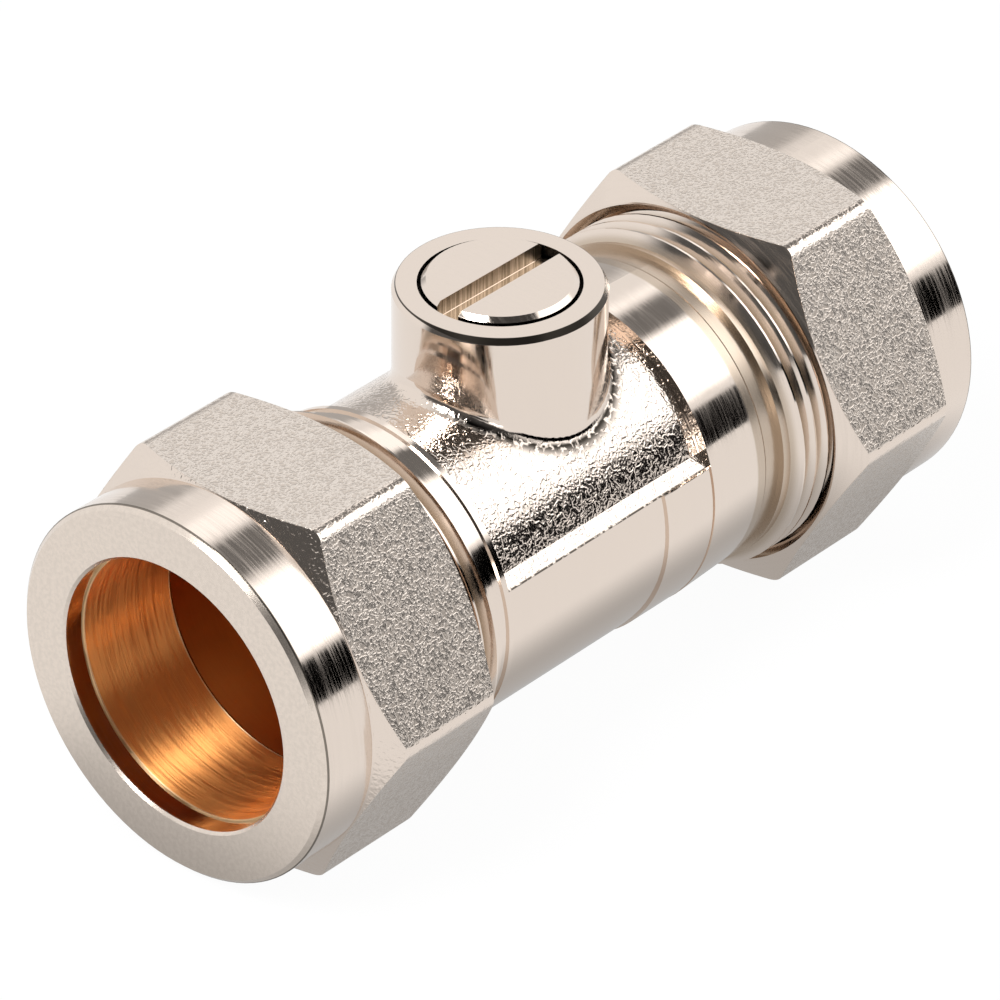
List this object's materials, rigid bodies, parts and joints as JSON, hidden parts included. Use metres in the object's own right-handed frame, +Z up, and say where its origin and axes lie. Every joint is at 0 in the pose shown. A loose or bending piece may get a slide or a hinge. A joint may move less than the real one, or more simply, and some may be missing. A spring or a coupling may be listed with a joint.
{
  "type": "isolating valve",
  "caption": "Straight quarter-turn isolating valve with a screwdriver slot and a compression joint with nut and olive at each end.",
  "frame": {"origin": "middle of the valve's overall length, on the surface that the nuts' flats rest on; the spindle axis stands at x = -1.050 mm and the pipe axis lies at z = 10.72 mm", "axes": "+X along the pipe axis from the near nut to the far nut, +Z up along the spindle towards its slot, +Y across"},
  "size_m": [0.0518, 0.0244, 0.0244],
  "materials": {
    "nickel_forged": "nickel plate over a forged brass skin, glossy with a fine orange-peel grain",
    "nickel_turned": "nickel plate over turned brass, smooth and bright",
    "copper_olive": "bare copper, finely turned and bright",
    "chromed_ball": "hard chrome plate, polished",
    "white_ptfe": "turned PTFE, waxy white",
    "seal_rubber": "black nitrile rubber"
  },
  "bodies": {
    "housing": {"valve_body": "nickel_forged", "end_piece": "nickel_turned", "near_seat": "white_ptfe", "far_seat": "white_ptfe"},
    "spindle": {"spindle": "nickel_turned", "spindle_washer": "white_ptfe", "lower_o_ring": "seal_rubber", "upper_o_ring": "seal_rubber", "ball": "chromed_ball"},
    "near_olive": {"near_olive": "copper_olive"},
    "near_nut": {"near_nut": "nickel_forged"},
    "far_olive": {"far_olive": "copper_olive"},
    "far_nut": {"far_nut": "nickel_forged"}
  },
  "joints": [
    {"name": "spindle_turn", "type": "hinge", "parent": "housing", "child": "spindle", "pos_m": [-0.00105, 0, 0.02442], "axis": [0, 0, 1], "continuous": true},
    {"name": "near_olive_slide", "type": "slide", "parent": "housing", "child": "near_olive", "axis": [-1, 0, 0], "range_m": [0, 0.004]},
    {"name": "near_nut_turn", "type": "hinge", "parent": "near_olive", "child": "near_nut", "pos_m": [-0.0259, 0, 0.01072], "axis": [-1, 0, 0], "range_deg": [0, 1440]},
    {"name": "far_olive_slide", "type": "slide", "parent": "housing", "child": "far_olive", "axis": [1, 0, 0], "range_m": [0, 0.004]},
    {"name": "far_nut_turn", "type": "hinge", "parent": "far_olive", "child": "far_nut", "pos_m": [0.0259, 0, 0.01072], "axis": [1, 0, 0], "range_deg": [0, 1440]}
  ],
  "couplings": [
    {"joint": "near_olive_slide", "follows": "near_nut_turn", "m_per_rad": 0.00015915},
    {"joint": "far_olive_slide", "follows": "far_nut_turn", "m_per_rad": 0.00015915}
  ]
}
